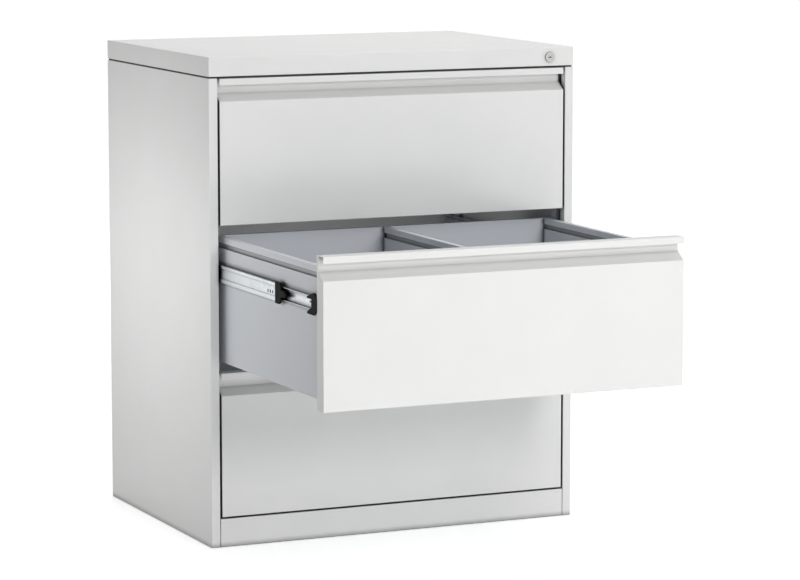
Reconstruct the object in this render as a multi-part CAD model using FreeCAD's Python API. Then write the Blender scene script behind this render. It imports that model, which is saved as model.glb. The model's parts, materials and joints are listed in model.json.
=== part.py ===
import FreeCAD, Part
import math
import os

# Three-drawer, two-lane cabinet for hanging files. Millimetres, +Z up, the fronts face -Y,
# the origin is on the floor under the middle of the body.

V = FreeCAD.Vector
os.makedirs("parts", exist_ok=True)

# Driving sizes
WIDTH = 820.0
DEPTH = 600.0
HEIGHT = 1000.0
SHEET = 1.0
THIN_SHEET = 0.8
FOLD_R = 1.6

HALF_W = WIDTH / 2
FRONT = -DEPTH / 2
BACK = DEPTH / 2

# Body
STILE_W = 19.0
STILE_IN = HALF_W - STILE_W
STILE_DEEP = 18.0
COVER_H = 39.0
COVER_EDGE = 1.2
COVER_GAP = 3.5
COVER_BOTTOM = HEIGHT - COVER_H
SIDE_TOP = COVER_BOTTOM - COVER_GAP
FOOT_EDGE = 30.0
FRAME_HALF = HALF_W - 2.5
FRAME_FRONT = FRONT + 2.5
FRAME_BACK = BACK - SHEET - THIN_SHEET
PLINTH_TOP = 58.7
PLINTH_HALF = STILE_IN - 1.0
PLINTH_Y = FRONT + 0.5
BASE_FRONT = FRONT + 17.0
BASE_PLATE = 46.0
BASE_RETURN = 20.0

# Rivets, one size throughout
RIVET_R = 2.5
RIVET_HOLE = 2.6
RIVET_HEAD_R = 4.0
RIVET_HEAD_H = 1.5
BACK_RIVET_X = HALF_W - 10.0
BACK_RIVET_LOW = 60.0
BACK_RIVET_HIGH = SIDE_TOP - 57.5
BACK_RIVETS = 5
COVER_RIVET_X = HALF_W - 110.0
COVER_RIVET_Z = HEIGHT - 20.0

# Fronts
LOWEST_FRONT = 62.0
FRONT_GAP = 2.2
TOP_GAP = 0.7
PITCH = (SIDE_TOP - TOP_GAP + FRONT_GAP - LOWEST_FRONT) / 3
FRONT_BOTTOM = {"bottom": LOWEST_FRONT, "middle": LOWEST_FRONT + PITCH, "top": LOWEST_FRONT + 2 * PITCH}
FRONT_HALF = STILE_IN - 4.5
FRONT_H = PITCH - FRONT_GAP
FRONT_T = 31.0
LIP_BOTTOM = FRONT_H - 13.4
GRIP_DEEP = 24.0
SLOPE_TOP = FRONT_H - 30.8
SLOPE_FOOT = FRONT_H - 46.8

# Drawer boxes
TRAVEL = DEPTH - 75.0
OPEN_BY = {"bottom": 0.0, "middle": TRAVEL, "top": 0.0}
SLIDE_SPACE = 13.5
WALL_OUT = STILE_IN - SLIDE_SPACE
WALL_T = 12.0
WALL_IN = WALL_OUT - WALL_T
WALL_FOOT = 18.6
RIM_TOP = FRONT_H - 22.8
RIM_FOOT = RIM_TOP - 12.0
GROOVE_FOOT = RIM_FOOT - 10.5
GROOVE_DEEP = 5.2
BOX_FRONT = FRONT + FRONT_T
BOX_BACK = BACK - 17.0
FLOOR_Z = 20.0
FLOOR_EDGE = 12.0
BACK_EDGE = 14.0
RIB_HALF = 14.0
RIB_SLANT = 3.0
RIB_H = 2.5
RIBS_IN_LANE = 4
LANE_MIDDLE = (WALL_IN + WALL_T / 2) / 2
RIB_STEP = (WALL_IN - WALL_T / 2) / (RIBS_IN_LANE + 0.5)

# Slides, in a profile s is the distance from the post towards the drawer
SLIDE_Z = FRONT_H - 94.8
SLIDE_T = 1.2
SLIDE_FRONT = FRONT + 33.0
SLIDE_BACK = BACK - 18.0
TELESCOPE_FRONT = FRONT + 109.0
TELESCOPE_RATIO = 0.765
BUMPER_FRONT = TELESCOPE_FRONT - 28.0
DRAWER_RAIL_FRONT = FRONT + 54.5
END_CAP_FRONT = FRONT + 31.5
JAW_HALF = 21.3
OUTER_CAGE_FRONT = TELESCOPE_FRONT + 127.0
OUTER_CAGE_BACK = SLIDE_BACK - 202.0
OUTER_BALL_R = 2.8
OUTER_BALL_S = 5.4
OUTER_BALL_Z = 20.35
INNER_CAGE_FRONT = TELESCOPE_FRONT + 67.0
INNER_CAGE_BACK = SLIDE_BACK - 68.0
INNER_BALL_R = 1.6
INNER_BALL_S = 9.0
INNER_BALL_Z = 14.65
CAGE_END = 8.0
BALLS_IN_ROW = 3

# Posts
POST_FRONT = FRONT + 38.0
POST_REAR = BACK - 60.0
POST_W = 30.0
POST_T = 1.2
POST_OUT = HALF_W - SHEET - POST_T
POST_FLANGE = 8.0
HOOK_SLOT_UP = 45.0
HOOK_SLOT_HALF = 9.0
HOOK_SLOT_W = 6.0

# Lock
LOCK_X = HALF_W - 56.0
LOCK_Z = HEIGHT - 21.0
LOCK_HEAD_R = 10.0
LOCK_HEAD_FRONT = FRONT - 3.5
LOCK_REAR = FRONT + 29.0
BARREL_R = 7.9
COVER_HOLE_R = 8.0
NUT_R = 12.5
NUT_T = 3.5
PLUG_R = 5.5
PLUG_BORE = 5.6
PLUG_FRONT = FRONT - 3.8
SQUARE_HALF = 3.5
CAM_FRONT = LOCK_REAR + 0.5
CAM_BACK = CAM_FRONT + 2.0
CAM_REACH = 6.0
PIN_R = 2.0

# Lock bar behind the right stile
BAR_Y = FRONT + 33.5
BAR_T = 2.0
BAR_X0 = STILE_IN + 2.5
BAR_X1 = STILE_IN + 13.3
BAR_FOOT = 100.0
ARM_H = 14.0
ARM_Z = LOCK_Z - 13.0
ARM_X = LOCK_X - 2.0
TAB_X = STILE_IN - 10.0
TAB_Z = 52.0
TAB_H = 14.0
LUG_X = STILE_IN - 1.5
LUG_Y = FRONT + 38.5
LUG_T = 2.0
LUG_FLANGE = 18.0
LUG_Z = 70.0
LUG_H = 16.0
GUIDE_Z = 195.0
GUIDE_H = 14.0
GUIDE_WALL = 1.7
SLACK = 0.4


def box(x0, x1, y0, y1, z0, z1):
    return Part.makeBox(x1 - x0, y1 - y0, z1 - z0, V(x0, y0, z0))


def face_of(corners):
    return Part.Face(Part.makePolygon(corners + corners[:1]))


def prism_x(points, x0, x1):
    """Points are (y, z)."""
    return face_of([V(x0, y, z) for y, z in points]).extrude(V(x1 - x0, 0, 0))


def prism_y(points, y0, y1):
    """Points are (x, z)."""
    return face_of([V(x, y0, z) for x, z in points]).extrude(V(0, y1 - y0, 0))


def prism_z(points, z0, z1):
    """Points are (x, y)."""
    return face_of([V(x, y, z0) for x, y in points]).extrude(V(0, 0, z1 - z0))


def rod(x, y0, y1, z, r):
    return Part.makeCylinder(r, y1 - y0, V(x, y0, z), V(0, 1, 0))


def ring_of(x, z, r, sides):
    """Corners (x, z) of a regular polygon around a point."""
    turn = 2 * math.pi / sides
    return [(x + r * math.cos(turn * i), z + r * math.sin(turn * i)) for i in range(sides)]


def peg_y(x, y0, y1, z, r):
    """Rivet or its hole along Y, with eight sides to keep the facets few."""
    return prism_y(ring_of(x, z, r, 8), y0, y1)


def peg_x(x0, x1, y, z, r):
    return prism_x(ring_of(y, z, r, 8), x0, x1)


def ball(at, r):
    """Bearing ball as a faceted barrel of three hexagons."""
    wires = []
    for height, width in ((-0.8, 0.6), (0.0, 1.0), (0.8, 0.6)):
        corners = [V(x, y, at.z + height * r) for x, y in ring_of(at.x, at.y, width * r, 6)]
        wires.append(Part.makePolygon(corners + corners[:1]))
    return Part.makeLoft(wires, True, True)


def directions(points):
    """Unit vector of each straight run."""
    out = []
    for (ax, ay), (bx, by) in zip(points, points[1:]):
        d = math.hypot(bx - ax, by - ay)
        out.append(((bx - ax) / d, (by - ay) / d))
    return out


def rounded(points, radii):
    """The line with each inner corner replaced by an arc of its radius, in short straight runs."""
    dirs = directions(points)
    out = [points[0]]
    for corner, (ux, uy), (vx, vy), r in zip(points[1:], dirs, dirs[1:], radii):
        turn = math.atan2(ux * vy - uy * vx, ux * vx + uy * vy)
        reach = r * math.tan(abs(turn) / 2)
        side = math.copysign(1.0, turn)
        start = (corner[0] - ux * reach, corner[1] - uy * reach)
        centre = (start[0] - side * uy * r, start[1] + side * ux * r)
        first = math.atan2(start[1] - centre[1], start[0] - centre[0])
        steps = max(1, round(abs(turn) / math.radians(30)))
        for i in range(steps + 1):
            at = first + turn * i / steps
            out.append((centre[0] + r * math.cos(at), centre[1] + r * math.sin(at)))
    return out + [points[-1]]


def fold_radii(points, t, bend):
    """Radius at each corner of one face of a sheet: the full bend outside, less the sheet inside."""
    dirs = directions(points)
    outside = [(ux * vy - uy * vx) * t > 0 for (ux, uy), (vx, vy) in zip(dirs, dirs[1:])]
    return [bend if out else bend - abs(t) for out in outside]


def strip(points, t, bend=0.0):
    """Outline of a folded sheet: the line and its copy set off by t to the left (right if t < 0)."""
    dirs = directions(points)
    off = []
    for i, (x, y) in enumerate(points):
        before = dirs[max(i - 1, 0)]
        after = dirs[min(i, len(dirs) - 1)]
        n1 = (-before[1], before[0])
        n2 = (-after[1], after[0])
        k = t / (1 + n1[0] * n2[0] + n1[1] * n2[1])
        off.append((x + k * (n1[0] + n2[0]), y + k * (n1[1] + n2[1])))
    if bend:
        near = rounded(points, fold_radii(points, t, bend))
        far = rounded(off, fold_radii(off, -t, bend))
        return near + far[::-1]
    return points + off[::-1]


def join(first, *rest):
    out = first
    for other in rest:
        out = out.fuse(other)
    return out.removeSplitter()


def mirrored(shape):
    return shape.mirror(V(0, 0, 0), V(1, 0, 0))


def export(name, *solids):
    found = []
    for s in solids:
        found += s.Solids
    for s in found:
        if not s.isValid():
            raise SystemExit(name + " is not a valid solid")
    shape = found[0] if len(found) == 1 else Part.makeCompound(found)
    shape.exportStep("parts/" + name + ".step")


def export_pair(name, *left):
    """The left pieces and their mirror images, which are the same bought parts on the right."""
    export(name, *left, *[mirrored(p) for p in left])


# Heights and places that several pieces share
SLIDES_AT = [z + SLIDE_Z for z in FRONT_BOTTOM.values()]
POSTS_AT = (POST_FRONT, POST_REAR)
RAIL_RIVETS_Y = [y + POST_W / 2 for y in POSTS_AT]
BACK_RIVET_STEP = (BACK_RIVET_HIGH - BACK_RIVET_LOW) / (BACK_RIVETS - 1)
BACK_RIVETS_Z = [BACK_RIVET_LOW + BACK_RIVET_STEP * i for i in range(BACK_RIVETS)]
COVER_RIVETS_X = (-COVER_RIVET_X, 0.0, COVER_RIVET_X)
PIN_X = LOCK_X + CAM_REACH
PIN_Z = LOCK_Z - CAM_REACH
BAR_TOP = ARM_Z + ARM_H


def bar_way(slack, z0, z1):
    """The room that the lock bar needs on its way through a sheet."""
    return box(BAR_X0 - slack, BAR_X1 + slack, BAR_Y - slack, BAR_Y + BAR_T + slack, z0, z1)


# Body panels
def side_panel():
    """The left side: wall with stile, rear return, top flange and foot."""
    plan = [
        (-STILE_IN - 9, FRONT + STILE_DEEP),
        (-STILE_IN, FRONT + STILE_DEEP),
        (-STILE_IN, FRONT),
        (-HALF_W, FRONT),
        (-HALF_W, BACK),
        (-HALF_W + 20, BACK),
    ]
    wall = prism_z(strip(plan, -SHEET, FOLD_R), 0, SIDE_TOP)
    x0 = -HALF_W + SHEET / 2
    x1 = -STILE_IN - SHEET / 2
    y0 = FRONT + SHEET / 2
    y1 = BACK - SHEET / 2
    top = box(x0, x1, y0, y1, SIDE_TOP - SHEET, SIDE_TOP)
    foot = box(x0, x1, y0, y1, 0, SHEET)
    foot_edge = box(-STILE_IN - SHEET, -STILE_IN, BASE_FRONT, FRAME_BACK, 0, FOOT_EDGE)
    shape = join(wall, top, foot, foot_edge)
    for z in BACK_RIVETS_Z:
        shape = shape.cut(peg_y(-BACK_RIVET_X, BACK - 3, BACK + 1, z, RIVET_HOLE))
    return shape


export("side_panel_left", side_panel())
export("side_panel_right", mirrored(side_panel()).cut(bar_way(1.3, SIDE_TOP - 2, SIDE_TOP + 1)))


def rivet_y(x, z, grip):
    """Rivet through the sheets at the back, with its head outside."""
    head = peg_y(x, BACK, BACK + RIVET_HEAD_H, z, RIVET_HEAD_R)
    return join(peg_y(x, BACK - grip, BACK, z, RIVET_R), head)


rivets = []
half = HALF_W - SHEET - THIN_SHEET
back = box(-half, half, FRAME_BACK, BACK - SHEET, SHEET + 0.2, SIDE_TOP - SHEET - 0.2)
for x in (-BACK_RIVET_X, BACK_RIVET_X):
    for z in BACK_RIVETS_Z:
        back = back.cut(peg_y(x, BACK - 3, BACK, z, RIVET_HOLE))
        rivets.append(rivet_y(x, z, 3.4))
export("back_panel", back)


# The cover: a tray turned over, resting on the frame's upstands
def cover_block():
    block = box(-HALF_W, HALF_W, FRONT, BACK, COVER_BOTTOM, HEIGHT)
    soft = []
    for e in block.Edges:
        a, b = (vertex.Point.z for vertex in e.Vertexes)
        if abs(a - b) > 1 or min(a, b) > HEIGHT - 0.1:
            soft.append(e)
    return block.makeChamfer(COVER_EDGE, soft)


half = HALF_W - SHEET
cover = cover_block().cut(box(-half, half, FRONT + SHEET, BACK - SHEET, COVER_BOTTOM - 1, HEIGHT - SHEET))
cover = cover.cut(rod(LOCK_X, FRONT - 1, FRONT + 2, LOCK_Z, COVER_HOLE_R))

# The frame the cover sits on
frame = box(-FRAME_HALF, FRAME_HALF, FRAME_FRONT, FRAME_BACK, SIDE_TOP, HEIGHT - SHEET)
half = FRAME_HALF - SHEET
frame = frame.cut(box(-half, half, FRAME_FRONT + SHEET, FRAME_BACK - SHEET, SIDE_TOP + SHEET, HEIGHT))
nut_room = NUT_R + 8
frame = frame.cut(box(LOCK_X - nut_room, LOCK_X + nut_room, FRONT, FRONT + 5, SIDE_TOP + 2.5, HEIGHT))
frame = frame.cut(bar_way(1.3, SIDE_TOP - 1, SIDE_TOP + 2))
for x in COVER_RIVETS_X:
    hole = peg_y(x, BACK - 4, BACK + 1, COVER_RIVET_Z, RIVET_HOLE)
    cover = cover.cut(hole)
    frame = frame.cut(hole)
    rivets.append(rivet_y(x, COVER_RIVET_Z, 5.0))
export("top_cover", cover)
export("top_frame", frame)

# The base: a tray with its skirt turned in at the floor
base = box(-STILE_IN, STILE_IN, BASE_FRONT, FRAME_BACK, 0, BASE_PLATE)
for edge, low, high in ((SHEET, SHEET, BASE_PLATE - SHEET), (BASE_RETURN, -1, 2)):
    half = STILE_IN - edge
    base = base.cut(box(-half, half, BASE_FRONT + edge, FRAME_BACK - edge, low, high))
export("base_frame", base)

plinth = [(BASE_FRONT, PLINTH_TOP), (PLINTH_Y, PLINTH_TOP), (PLINTH_Y, 0), (BASE_FRONT, 0)]
export("plinth_panel", prism_x(strip(plinth, SHEET, FOLD_R), -PLINTH_HALF, PLINTH_HALF))


# Posts that carry the slides
def post(y0):
    """Left post: a hat section with a rivet hole and two hook slots beside each slide."""
    y1 = y0 + POST_W
    plan = [
        (-POST_OUT, y0 - POST_FLANGE),
        (-POST_OUT, y0),
        (-STILE_IN, y0),
        (-STILE_IN, y1),
        (-POST_OUT, y1),
        (-POST_OUT, y1 + POST_FLANGE),
    ]
    shape = prism_z(strip(plan, POST_T), FOOT_EDGE, SIDE_TOP - SHEET)
    x0 = -STILE_IN - 3
    x1 = -STILE_IN + 1
    middle = (y0 + y1) / 2
    for z in SLIDES_AT:
        shape = shape.cut(peg_x(x0, x1, middle, z, RIVET_HOLE))
        for up in (-HOOK_SLOT_UP, HOOK_SLOT_UP):
            low = z + up - HOOK_SLOT_HALF
            y = middle - HOOK_SLOT_W / 2
            shape = shape.cut(box(x0, x1, y, y + HOOK_SLOT_W, low, low + 2 * HOOK_SLOT_HALF))
    return shape


export_pair("posts", *[post(y) for y in POSTS_AT])


# Slide profiles: points are (s, z) from the slide's middle height
def slide_prism(points, height, y0, y1):
    return prism_y([(-STILE_IN + s, height + z) for s, z in points], y0, y1)


CABINET_RAIL = strip([(9.6, 21.9), (9.6, 24.4), (0, 24.4), (0, -24.4), (9.6, -24.4), (9.6, -21.9)], SLIDE_T)
TELESCOPE_RAIL = strip(
    [
        (11.4, 17.5),
        (2.8, 17.5),
        (2.8, 11.5),
        (4.0, 10.3),
        (4.0, -8.3),
        (2.8, -9.5),
        (2.8, -17.5),
        (11.4, -17.5),
    ],
    SLIDE_T,
)
DRAWER_RAIL = strip([(6.2, 13.0), (13.5, 13.0), (13.5, -13.0), (6.2, -13.0)], -SLIDE_T)
OUTER_CAGE = strip([(8.3, 20.7), (1.6, 20.7), (1.6, -20.7), (8.3, -20.7)], 0.7)
INNER_CAGE = strip([(10.8, 14.9), (5.5, 14.9), (5.5, -14.9), (10.8, -14.9)], 0.4)


def cabinet_rail(z):
    rail = slide_prism(CABINET_RAIL, z, SLIDE_FRONT, SLIDE_BACK)
    for y in RAIL_RIVETS_Y:
        rail = rail.cut(peg_x(-STILE_IN - 1, -STILE_IN + 2, y, z, RIVET_HOLE))
    return rail


def rivet_x(y, z):
    """Rivet that holds a cabinet rail on its post, with its head inside the post."""
    inner = -STILE_IN - POST_T
    head = peg_x(inner - RIVET_HEAD_H, inner, y, z, RIVET_HEAD_R)
    return join(peg_x(inner, -STILE_IN + SLIDE_T, y, z, RIVET_R), head)


for z in SLIDES_AT:
    for y in RAIL_RIVETS_Y:
        left = rivet_x(y, z)
        rivets += [left, mirrored(left)]
export("rivets", *rivets)
export_pair("cabinet_rails", *[cabinet_rail(z) for z in SLIDES_AT])


def telescope_rail(z, y):
    front = TELESCOPE_FRONT + y
    rail = slide_prism(TELESCOPE_RAIL, z, front, SLIDE_BACK + y)
    for hole in (front + 14, front + 26, front + 38):
        rail = rail.cut(box(-STILE_IN + 2, -STILE_IN + 6, hole, hole + 5, z - 5, z + 1))
    return rail


def bumper(z, y):
    """Plastic end piece of the middle rail, with a tongue that enters the end cap of the drawer rail."""
    front = BUMPER_FRONT + y
    back = TELESCOPE_FRONT + y
    x1 = -STILE_IN + 5.8
    outline = [
        (front + 5, z + JAW_HALF),
        (back, z + JAW_HALF),
        (back, z - JAW_HALF),
        (front + 9, z - JAW_HALF),
        (front, z - 12),
        (front, z - 7),
        (front - 25, z - 5),
        (front - 25, z + 1),
        (front - 17, z + 6),
        (front, z + 7),
        (front, z + 16),
    ]
    arms = [box(x1 - 0.5, x1 + 2.4, front + 9, back, z + low, z + low + 5.6) for low in (14.2, -19.8)]
    return join(prism_x(outline, x1 - 4.1, x1), *arms)


def drawer_rail(z, y):
    rail = slide_prism(DRAWER_RAIL, z, DRAWER_RAIL_FRONT + y, SLIDE_BACK + y)
    hole = DRAWER_RAIL_FRONT + 17.5 + y
    return rail.cut(box(-STILE_IN + 11, -STILE_IN + 15, hole, hole + 12, z - 2, z + 2))


def end_cap(z, y):
    """Plastic hook at the front end of the drawer rail."""
    f = END_CAP_FRONT + y
    hook = [
        (f, z + 13),
        (f + 9, z + JAW_HALF),
        (f + 15, z + JAW_HALF),
        (f + 45, z + 11),
        (f + 45, z + 8.5),
        (f + 23, z + 8.5),
        (f + 23, z - 8.5),
        (f + 33, z - 12),
        (f + 45, z - 19),
        (f + 41, z - JAW_HALF),
        (f + 10, z - JAW_HALF),
        (f, z - 14),
    ]
    block = [
        (f, z + 13),
        (f + 6, z + 18),
        (f + 22.5, z + 18),
        (f + 22.5, z - 18),
        (f + 6, z - 18),
        (f, z - 14),
    ]
    x0 = -STILE_IN + 2.6
    return join(prism_x(hook, x0, x0 + 3.2), prism_x(block, x0 + 2.5, -STILE_IN + 13.4))


def cage(profile, y0, y1, z, ball_r, ball_s, ball_z):
    """A thin strip that keeps the balls apart, and its balls as separate solids."""
    body = slide_prism(profile, z, y0, y1)
    balls = []
    step = (y1 - y0 - 2 * CAGE_END) / (BALLS_IN_ROW - 1)
    hole = ball_r + 0.1
    for i in range(BALLS_IN_ROW):
        for row in (ball_z, -ball_z):
            at = V(-STILE_IN + ball_s, y0 + CAGE_END + step * i, z + row)
            body = body.cut(box(at.x - hole, at.x + hole, at.y - hole, at.y + hole, at.z - 1, at.z + 1))
            balls.append(ball(at, ball_r))
    return [body] + balls


# Drawer pieces
def front_shell(z, y):
    """Front with its grip: lip above, recess, slope, face and the return below, closed at both ends."""
    f = FRONT + y
    face = [
        (f + GRIP_DEEP, z + FRONT_H - SHEET),
        (f + GRIP_DEEP, z + SLOPE_TOP),
        (f, z + SLOPE_FOOT),
        (f, z),
        (f + FRONT_T, z),
    ]
    lip = [(f, z + LIP_BOTTOM), (f, z + FRONT_H), (f + GRIP_DEEP + SHEET, z + FRONT_H)]
    end = rounded(face, fold_radii(face, SHEET, FOLD_R))
    end += [(f + FRONT_T, z + FRONT_H), (f + GRIP_DEEP, z + FRONT_H)]
    return join(
        prism_x(strip(face, SHEET, FOLD_R), -FRONT_HALF, FRONT_HALF),
        prism_x(strip(lip, -SHEET, FOLD_R), -FRONT_HALF, FRONT_HALF),
        prism_x(end, -FRONT_HALF, -FRONT_HALF + SHEET),
        prism_x(end, FRONT_HALF - SHEET, FRONT_HALF),
    )


def front_liner(z, y):
    """Sheet that closes the front's rear, folded over at its top and foot."""
    b = BOX_FRONT + y
    path = [
        (b - FRONT_T + GRIP_DEEP + SHEET, z + FRONT_H),
        (b, z + FRONT_H),
        (b, z + SHEET),
        (b - 12, z + SHEET),
    ]
    half = FRONT_HALF - SHEET
    return prism_x(strip(path, -SHEET, FOLD_R), -half, half)


def wall(x, z, y, foot, y0, y1):
    """Double-skinned wall with a rim and a groove on both faces; x is its left face."""
    groove0 = x + GROOVE_DEEP
    groove1 = x + WALL_T - GROOVE_DEEP
    x1 = x + WALL_T
    outline = [
        (x, z + foot),
        (x, z + GROOVE_FOOT),
        (groove0, z + GROOVE_FOOT),
        (groove0, z + RIM_FOOT),
        (x, z + RIM_FOOT),
        (x, z + RIM_TOP),
        (x1, z + RIM_TOP),
        (x1, z + RIM_FOOT),
        (groove1, z + RIM_FOOT),
        (groove1, z + GROOVE_FOOT),
        (x1, z + GROOVE_FOOT),
        (x1, z + foot),
    ]
    shape = prism_y(outline, y0 + y, y1 + y)
    for low, high in ((foot, GROOVE_FOOT), (RIM_FOOT, RIM_TOP)):
        z0 = z + low + THIN_SHEET
        z1 = z + high - THIN_SHEET
        shape = shape.cut(box(x + THIN_SHEET, x1 - THIN_SHEET, y0 + y - 1, y1 + y + 1, z0, z1))
    return shape


def drawer_floor(z, y):
    """Ribbed sheet with its side edges turned up against the walls."""
    low = z + FLOOR_Z
    top = low + RIB_H
    flat = RIB_HALF - RIB_SLANT
    points = [(-WALL_IN, low + FLOOR_EDGE), (-WALL_IN, low)]
    for lane in (-1, 1):
        for rib in range(RIBS_IN_LANE):
            c = lane * LANE_MIDDLE + (rib - (RIBS_IN_LANE - 1) / 2) * RIB_STEP
            points += [(c - RIB_HALF, low), (c - flat, top), (c + flat, top), (c + RIB_HALF, low)]
    points += [(WALL_IN, low), (WALL_IN, low + FLOOR_EDGE)]
    return prism_y(strip(points, THIN_SHEET), BOX_FRONT + y, BOX_BACK - WALL_T + y)


def drawer_back(z, y):
    """Rear sheet with a rim as deep as the walls are thick."""
    b = BOX_BACK + y
    path = [
        (b, z + RIM_TOP - BACK_EDGE),
        (b, z + RIM_TOP),
        (b - WALL_T, z + RIM_TOP),
        (b - WALL_T, z + FLOOR_Z),
        (b, z + FLOOR_Z),
        (b, z + FLOOR_Z + BACK_EDGE),
    ]
    return prism_x(strip(path, THIN_SHEET), -WALL_IN, WALL_IN)


def lock_lug(z, y):
    """Angle on the drawer's right side that the lock bar's tab stands in front of."""
    plan = [(LUG_X, LUG_Y + y), (WALL_OUT, LUG_Y + y), (WALL_OUT, LUG_Y + LUG_FLANGE + y)]
    return prism_z(strip(plan, -LUG_T), z + LUG_Z, z + LUG_Z + LUG_H)


def drawer(where, z, y):
    """All pieces of one drawer and of its slides, pulled out by -y."""
    slide = z + SLIDE_Z
    partly = y * TELESCOPE_RATIO
    export(where + "_front_shell", front_shell(z, y))
    export(where + "_front_liner", front_liner(z, y))
    export(where + "_side_left", wall(-WALL_OUT, z, y, WALL_FOOT, BOX_FRONT, BOX_BACK))
    export(where + "_side_right", wall(WALL_IN, z, y, WALL_FOOT, BOX_FRONT, BOX_BACK))
    export(where + "_divider", wall(-WALL_T / 2, z, y, FLOOR_Z + THIN_SHEET, BOX_FRONT, BOX_BACK - WALL_T))
    export(where + "_back", drawer_back(z, y))
    export(where + "_floor", drawer_floor(z, y))
    export(where + "_lock_lug", lock_lug(z, y))
    export_pair(where + "_drawer_rails", drawer_rail(slide, y))
    export_pair(where + "_end_caps", end_cap(slide, y))
    export_pair(where + "_telescope_rails", telescope_rail(slide, partly))
    export_pair(where + "_bumpers", bumper(slide, partly))
    y0 = OUTER_CAGE_FRONT + partly / 2
    y1 = OUTER_CAGE_BACK + partly / 2
    outer = cage(OUTER_CAGE, y0, y1, slide, OUTER_BALL_R, OUTER_BALL_S, OUTER_BALL_Z)
    export_pair(where + "_outer_cages", *outer)
    y0 = INNER_CAGE_FRONT + (partly + y) / 2
    y1 = INNER_CAGE_BACK + (partly + y) / 2
    inner = cage(INNER_CAGE, y0, y1, slide, INNER_BALL_R, INNER_BALL_S, INNER_BALL_Z)
    export_pair(where + "_inner_cages", *inner)


for where, z in FRONT_BOTTOM.items():
    drawer(where, z, -OPEN_BY[where])


# Lock: body with its nut in the cover, turning plug and cam
def square(half, y0, y1):
    """Square bar around the lock's axis."""
    return box(LOCK_X - half, LOCK_X + half, y0, y1, LOCK_Z - half, LOCK_Z + half)


housing = join(
    rod(LOCK_X, LOCK_HEAD_FRONT, FRONT, LOCK_Z, LOCK_HEAD_R),
    rod(LOCK_X, FRONT, LOCK_REAR, LOCK_Z, BARREL_R),
)
rim = [e for e in housing.Edges if e.BoundBox.YMax < LOCK_HEAD_FRONT + 0.1]
housing = housing.makeChamfer(0.7, rim)
export("lock_housing", housing.cut(rod(LOCK_X, LOCK_HEAD_FRONT - 1, LOCK_REAR + 1, LOCK_Z, PLUG_BORE)))

nut_y = FRONT + SHEET
nut = prism_y(ring_of(LOCK_X, LOCK_Z, NUT_R, 6), nut_y, nut_y + NUT_T)
export("lock_nut", nut.cut(rod(LOCK_X, nut_y - 1, nut_y + NUT_T + 1, LOCK_Z, COVER_HOLE_R)))

plug = join(
    rod(LOCK_X, PLUG_FRONT, LOCK_REAR + 0.2, LOCK_Z, PLUG_R),
    square(SQUARE_HALF, LOCK_REAR, CAM_BACK + 0.5),
)
for half, low, high in ((3.6, -0.8, 0.8), (0.8, 0.0, 1.8)):
    keyway = box(LOCK_X - half, LOCK_X + half, PLUG_FRONT - 1, PLUG_FRONT + 14, LOCK_Z + low, LOCK_Z + high)
    plug = plug.cut(keyway)
export("lock_plug", plug)

cam = join(
    rod(LOCK_X, CAM_FRONT, CAM_BACK, LOCK_Z, 8.0),
    rod(PIN_X, CAM_FRONT, CAM_BACK, PIN_Z, 5.0),
    rod(PIN_X, CAM_BACK, BAR_Y + 2 * BAR_T + 0.8, PIN_Z, PIN_R),
)
export("lock_cam", cam.cut(square(SQUARE_HALF + 0.05, CAM_FRONT - 1, CAM_BACK + 1)))


# Lock bar: an upright flat, with an arm to the cam and a tab for each drawer welded on behind it
def flat_steel(points, y):
    return prism_y(points, y, y + BAR_T)


bar = [(BAR_X0, BAR_FOOT), (BAR_X1, BAR_FOOT), (BAR_X1, BAR_TOP), (BAR_X0, BAR_TOP)]
export("lock_bar", flat_steel(bar, BAR_Y))

arm_y = BAR_Y + BAR_T
arm = [
    (ARM_X, ARM_Z + 3),
    (ARM_X + 3, ARM_Z),
    (BAR_X1, ARM_Z),
    (BAR_X1, BAR_TOP),
    (ARM_X, BAR_TOP),
]
slot = box(PIN_X - 2.7, PIN_X + 5.2, arm_y - 1, arm_y + BAR_T + 1, PIN_Z - 2.6, PIN_Z + 2.6)
export("lock_bar_arm", flat_steel(arm, arm_y).cut(slot))

tabs = []
guides = []
for bottom in FRONT_BOTTOM.values():
    low = bottom + TAB_Z
    high = low + TAB_H
    tab = [(TAB_X, low), (BAR_X1, low), (BAR_X1, high), (TAB_X + 4, high), (TAB_X, high - 4)]
    tabs.append(flat_steel(tab, arm_y))
    low = bottom + GUIDE_Z
    guide = box(STILE_IN + 0.3, FRAME_HALF, BAR_Y - GUIDE_WALL, POST_FRONT, low, low + GUIDE_H)
    guides.append(guide.cut(bar_way(SLACK, low - 1, low + GUIDE_H + 1)))
export("lock_bar_tabs", *tabs)
export("lock_guides", *guides)
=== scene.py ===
import json
import math

import bpy
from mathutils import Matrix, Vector

# Light grey filing cabinet with its middle drawer open, in a white studio.
# Metres, in the frame of the part.

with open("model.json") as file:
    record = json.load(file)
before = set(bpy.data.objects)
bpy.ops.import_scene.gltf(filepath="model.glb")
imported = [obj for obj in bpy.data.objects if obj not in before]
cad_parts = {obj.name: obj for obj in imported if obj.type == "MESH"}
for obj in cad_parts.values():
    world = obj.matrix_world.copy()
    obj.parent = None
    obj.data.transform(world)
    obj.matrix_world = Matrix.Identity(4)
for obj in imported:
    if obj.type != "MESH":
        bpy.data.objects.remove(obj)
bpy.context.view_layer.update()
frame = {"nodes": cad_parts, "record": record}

# Camera, placed from the corners of the cabinet in the photograph
CAMERA_AT = Vector((-2.8746, -6.6390, 1.4662))
CAMERA_YAW = math.radians(24.473)
CAMERA_PITCH = math.radians(7.839)
LENS_MM = 153.0
SENSOR_MM = 36.0
VIEW_LIMIT = 300.0

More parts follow.
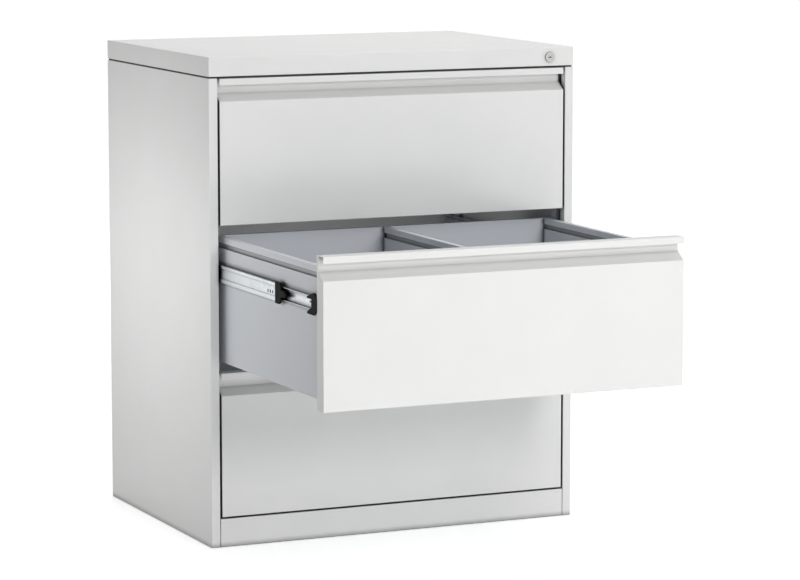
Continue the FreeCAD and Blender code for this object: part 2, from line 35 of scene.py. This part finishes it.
# Looks
PAINT = (0.79, 0.795, 0.785)
INNER_PAINT = (0.64, 0.665, 0.70)
ZINC = (0.52, 0.545, 0.57)
NICKEL = (0.60, 0.59, 0.58)
# Near black of the frame under the cover: painted shade, so the gap below the cover reads as a dark
# line
PAINTED_GAP_SHADE = (0.020, 0.020, 0.021)
BLACK = (0.007, 0.007, 0.008)

# Edges are rounded a little. Gaps narrower than 10 mm, on the outer paint 13 mm, get painted shade:
# their colour is darkened
EDGE_ROUND = 0.00035
EDGE_ANGLE = math.radians(30)
WELD_REACH = 0.000002
PAINTED_SHADE_REACH = 0.010
OUTER_PAINTED_SHADE_REACH = 0.013
PAINTED_SHADE_SAMPLES = 12

# Where most of a noise texture's values lie
START = 0.3
END = 0.7

# White floor and background. As background the floor glows by NEAR_GLOW within NEAR metres of
# the middle, and by FAR_GLOW beyond FAR metres
FLOOR_SIZE = 160.0
FLOOR_AT = (0, 0, -0.0006)
FLOOR_PALE = (0.86, 0.86, 0.86, 1.0)
NEAR = 1.0
FAR = 6.0
NEAR_GLOW = 0.5
FAR_GLOW = 0.88
AMBIENT = 0.125

# Lamps: name, place, what it points at, width and height, watts, whether gloss mirrors it.
# A softbox right of the camera, one high in front, one overhead, one behind and weak ones that fill.
# Those that gloss doesn't mirror would whiten the cover and the lock.
LAMPS = [
    ("key", (0.8, -5.3, 1.9), (0.0, -0.3, 0.4), (1.0, 1.0), 60, False),
    ("front_over", (0.7, -4.4, 3.6), (0.0, -0.4, 0.5), (2.6, 1.8), 56, True),
    ("front_low", (-1.6, -5.0, 0.6), (0.0, -0.3, 0.3), (1.6, 0.8), 31, True),
    ("low_right", (1.6, -3.4, 0.2), (0.0, -0.3, 0.05), (0.8, 0.3), 13, False),
    ("top", (0.3, 0.2, 3.4), (0.0, 0.0, 1.0), (2.2, 2.2), 44, False),
    ("left", (-4.4, -1.6, 1.8), (-0.4, 0.0, 0.5), (2.0, 2.4), 5, True),
    ("left_near", (-1.0, 0.05, 0.58), (-0.41, 0.05, 0.58), (0.8, 0.12), 2.3, True),
    ("right", (4.4, 0.6, 1.8), (0.4, 0.0, 0.5), (2.0, 2.4), 30, True),
    ("behind", (1.4, 4.6, 1.5), (0.0, 0.3, 0.5), (2.4, 1.6), 70, False),
    ("inner", (0.0, -0.1, 0.6), (0.0, 0.3, 0.52), (0.6, 0.08), 0.25, True),
]


class Nodes:
    """Short calls for one material's node tree."""

    def __init__(self, name):
        self.material = bpy.data.materials.new(name)
        self.material.use_nodes = True
        self.tree = self.material.node_tree
        self.shader = self.tree.nodes["Principled BSDF"]
        self.output = self.tree.nodes["Material Output"]
        self.place = self.add("ShaderNodeTexCoord").outputs["Object"]

    def add(self, kind, **inputs):
        node = self.tree.nodes.new(kind)
        for key, value in inputs.items():
            node.inputs[key.replace("_", " ")].default_value = value
        return node

    def link(self, output, socket):
        self.tree.links.new(output, socket)

    def stretched(self, scale):
        """Object coordinates with a different scale along each axis."""
        mapping = self.add("ShaderNodeMapping")
        mapping.inputs["Scale"].default_value = scale
        self.link(self.place, mapping.inputs["Vector"])
        return mapping.outputs["Vector"]

    def noise(self, scale, detail=3.0, vector=None):
        node = self.add("ShaderNodeTexNoise", Scale=scale, Detail=detail)
        self.link(vector or self.place, node.inputs["Vector"])
        return node.outputs["Fac"]

    def spread(self, value, low, high, start=START, end=END):
        """A value between start and end turned into one between low and high."""
        node = self.add("ShaderNodeMapRange")
        node.inputs["From Min"].default_value = start
        node.inputs["From Max"].default_value = end
        node.inputs["To Min"].default_value = low
        node.inputs["To Max"].default_value = high
        self.link(value, node.inputs["Value"])
        return node.outputs["Result"]

    def tones(self, value, low, high):
        """A texture value turned into a colour between two tones."""
        ramp = self.add("ShaderNodeValToRGB")
        ramp.color_ramp.elements[0].position = START
        ramp.color_ramp.elements[0].color = (*low, 1.0)
        ramp.color_ramp.elements[1].position = END
        ramp.color_ramp.elements[1].color = (*high, 1.0)
        self.link(value, ramp.inputs["Fac"])
        return ramp.outputs["Color"]

    def colour(self, source, painted_shade=0.0, reach=PAINTED_SHADE_REACH):
        """Base colour, with painted shade: darker in gaps and folds narrower than the reach."""
        if painted_shade:
            # Painted shade: ambient occlusion darkens the base colour where gaps and folds close in
            openness = self.add("ShaderNodeAmbientOcclusion", Distance=reach)
            openness.samples = PAINTED_SHADE_SAMPLES
            depth = self.add("ShaderNodeMath")
            depth.operation = "POWER"
            self.link(openness.outputs["AO"], depth.inputs[0])
            depth.inputs[1].default_value = painted_shade
            painted_shade_mix = self.add("ShaderNodeMix")
            painted_shade_mix.data_type = "RGBA"
            painted_shade_mix.blend_type = "MULTIPLY"
            painted_shade_mix.inputs["Factor"].default_value = 1.0
            self.link(source, painted_shade_mix.inputs["A"])
            self.link(depth.outputs[0], painted_shade_mix.inputs["B"])
            source = painted_shade_mix.outputs["Result"]
        self.link(source, self.shader.inputs["Base Color"])

    def bump(self, height, distance, strength, under=None):
        """Surface relief, on top of the one passed as under."""
        node = self.add("ShaderNodeBump", Strength=strength, Distance=distance)
        self.link(height, node.inputs["Height"])
        if under is not None:
            self.link(under, node.inputs["Normal"])
        self.link(node.outputs["Normal"], self.shader.inputs["Normal"])
        return node.outputs["Normal"]


def shade(colour, factor):
    """The colour, darker or lighter by a factor."""
    return tuple(c * factor for c in colour)


def powder_coat(name, colour, rough, painted_shade, reach=PAINTED_SHADE_REACH):
    """Fine-grained powder coat: orange peel, a faint unevenness of tone and of gloss, and painted
    shade in gaps and folds.
    """
    n = Nodes(name)
    cloud = n.noise(scale=9.0, detail=5.0)
    tone = n.tones(cloud, low=shade(colour, 0.985), high=shade(colour, 1.01))
    # Painted shade: the colour is darkened in gaps and folds.
    n.colour(tone, painted_shade=painted_shade, reach=reach)
    gloss = n.spread(n.noise(scale=260.0), low=rough - 0.05, high=rough + 0.06)
    n.link(gloss, n.shader.inputs["Roughness"])
    peel = n.bump(n.noise(scale=900.0, detail=2.0), distance=0.00006, strength=0.45)
    n.bump(n.noise(scale=4200.0, detail=1.0), distance=0.00002, strength=0.3, under=peel)
    return n.material


def zinc(name):
    """Zinc-plated strip steel, drawn along the cabinet's depth."""
    n = Nodes(name)
    lines = n.stretched((900.0, 14.0, 900.0))
    streaks = n.noise(scale=1.0, detail=4.0, vector=lines)
    # Painted shade: the colour is darkened in gaps and folds.
    n.colour(n.tones(streaks, low=shade(ZINC, 0.92), high=shade(ZINC, 1.06)), painted_shade=2.2)
    n.shader.inputs["Metallic"].default_value = 1.0
    gloss = n.spread(n.noise(scale=60.0, detail=5.0), low=0.24, high=0.38)
    n.link(gloss, n.shader.inputs["Roughness"])
    n.bump(n.noise(scale=1.0, vector=lines), distance=0.00002, strength=0.2)
    return n.material


def nickel(name):
    """Satin nickel of the lock, faintly uneven."""
    n = Nodes(name)
    tone = n.tones(n.noise(scale=400.0), low=shade(NICKEL, 0.93), high=shade(NICKEL, 1.06))
    # Painted shade: the colour is darkened in gaps and folds.
    n.colour(tone, painted_shade=2.0)
    n.shader.inputs["Metallic"].default_value = 1.0
    n.link(n.spread(n.noise(scale=700.0), low=0.26, high=0.36), n.shader.inputs["Roughness"])
    n.bump(n.noise(scale=2500.0), distance=0.00001, strength=0.3)
    return n.material


def black_plastic(name):
    """Moulded plastic with a fine grain, nearly without gloss."""
    n = Nodes(name)
    n.colour(n.tones(n.noise(scale=120.0), low=shade(BLACK, 0.8), high=shade(BLACK, 1.5)))
    n.link(n.spread(n.noise(scale=500.0), low=0.52, high=0.68), n.shader.inputs["Roughness"])
    n.bump(n.noise(scale=2600.0, detail=2.0), distance=0.00003, strength=0.5)
    n.shader.inputs["Specular IOR Level"].default_value = 0.04
    return n.material


MATERIALS = {
    "outer_paint": powder_coat("outer_paint", PAINT, 0.42, painted_shade=1.3, reach=OUTER_PAINTED_SHADE_REACH),
    "inner_paint": powder_coat("inner_paint", INNER_PAINT, 0.45, painted_shade=2.0),
    # The frame under the cover is near black, as painted shade for the gap below the cover
    "dark_paint": powder_coat("dark_paint", PAINTED_GAP_SHADE, 0.55, painted_shade=1.1),
    "zinc": zinc("zinc"),
    "nickel": nickel("nickel"),
    "black_plastic": black_plastic("black_plastic"),
}


def dress(node, slot):
    """Material and softly rounded edges for one node of the frame."""
    node.data.materials.clear()
    node.data.materials.append(MATERIALS[slot])
    weld = node.modifiers.new("weld", "WELD")
    weld.merge_threshold = WELD_REACH
    bevel = node.modifiers.new("edges", "BEVEL")
    bevel.width = EDGE_ROUND
    bevel.segments = 2
    bevel.limit_method = "ANGLE"
    bevel.angle_limit = EDGE_ANGLE
    bevel.harden_normals = True


for part in frame["record"]["subparts"]:
    dress(frame["nodes"][part["node"]], part["material_slot"])


def background_rays(tree):
    """1 for the rays that show the background: from the camera, in gloss and through glass."""
    light_path = tree.nodes.new("ShaderNodeLightPath")
    seen = light_path.outputs["Is Camera Ray"]
    for ray in ("Is Glossy Ray", "Is Transmission Ray"):
        either = tree.nodes.new("ShaderNodeMath")
        either.operation = "MAXIMUM"
        tree.links.new(seen, either.inputs[0])
        tree.links.new(light_path.outputs[ray], either.inputs[1])
        seen = either.outputs[0]
    return seen


def make_floor():
    """White floor that keeps the object's shadow but shows as white behind it."""
    bpy.ops.mesh.primitive_plane_add(size=FLOOR_SIZE, location=FLOOR_AT)
    floor = bpy.context.object
    floor.name = "floor"
    n = Nodes("floor")
    n.shader.inputs["Base Color"].default_value = FLOOR_PALE
    n.shader.inputs["Roughness"].default_value = 0.9
    glow = n.add("ShaderNodeEmission")
    away = n.add("ShaderNodeVectorMath")
    away.operation = "LENGTH"
    n.link(n.place, away.inputs[0])
    strength = n.spread(away.outputs["Value"], NEAR_GLOW, FAR_GLOW, start=NEAR, end=FAR)
    n.link(strength, glow.inputs["Strength"])
    off = n.add("ShaderNodeEmission", Strength=0.0)
    choice = n.add("ShaderNodeMixShader")
    n.link(background_rays(n.tree), choice.inputs["Fac"])
    n.link(off.outputs[0], choice.inputs[1])
    n.link(glow.outputs[0], choice.inputs[2])
    both = n.add("ShaderNodeAddShader")
    n.link(n.shader.outputs[0], both.inputs[0])
    n.link(choice.outputs[0], both.inputs[1])
    n.link(both.outputs[0], n.output.inputs["Surface"])
    floor.data.materials.append(n.material)


def make_world():
    """Weak white light from all round, and a white background."""
    world = bpy.data.worlds.new("studio")
    bpy.context.scene.world = world
    world.use_nodes = True
    tree = world.node_tree
    sky = tree.nodes["Background"]
    sky.inputs["Color"].default_value = (1.0, 1.0, 1.0, 1.0)
    sky.inputs["Strength"].default_value = AMBIENT
    white = tree.nodes.new("ShaderNodeBackground")
    white.inputs["Strength"].default_value = 1.0
    choice = tree.nodes.new("ShaderNodeMixShader")
    tree.links.new(background_rays(tree), choice.inputs["Fac"])
    tree.links.new(sky.outputs[0], choice.inputs[1])
    tree.links.new(white.outputs[0], choice.inputs[2])
    tree.links.new(choice.outputs[0], tree.nodes["World Output"].inputs["Surface"])


def make_lamp(name, at, target, size, watts, mirrored):
    """Rectangular lamp that points at its target."""
    light = bpy.data.lights.new(name, "AREA")
    light.shape = "RECTANGLE"
    light.size, light.size_y = size
    light.energy = watts
    lamp = bpy.data.objects.new(name, light)
    lamp.location = at
    lamp.rotation_euler = (Vector(target) - Vector(at)).to_track_quat("-Z", "Y").to_euler()
    lamp.visible_glossy = mirrored
    bpy.context.scene.collection.objects.link(lamp)


def make_camera():
    """Camera at the photograph's viewing angle."""
    camera = bpy.data.cameras.new("camera")
    camera.sensor_fit = "HORIZONTAL"
    camera.sensor_width = SENSOR_MM
    camera.lens = LENS_MM
    camera.clip_end = VIEW_LIMIT
    holder = bpy.data.objects.new("camera", camera)
    holder.location = CAMERA_AT
    holder.rotation_euler = (math.pi / 2 - CAMERA_PITCH, 0.0, -CAMERA_YAW)
    bpy.context.scene.collection.objects.link(holder)
    bpy.context.scene.camera = holder


make_floor()
make_world()
for lamp in LAMPS:
    make_lamp(*lamp)
make_camera()
bpy.context.scene.view_settings.view_transform = "Standard"
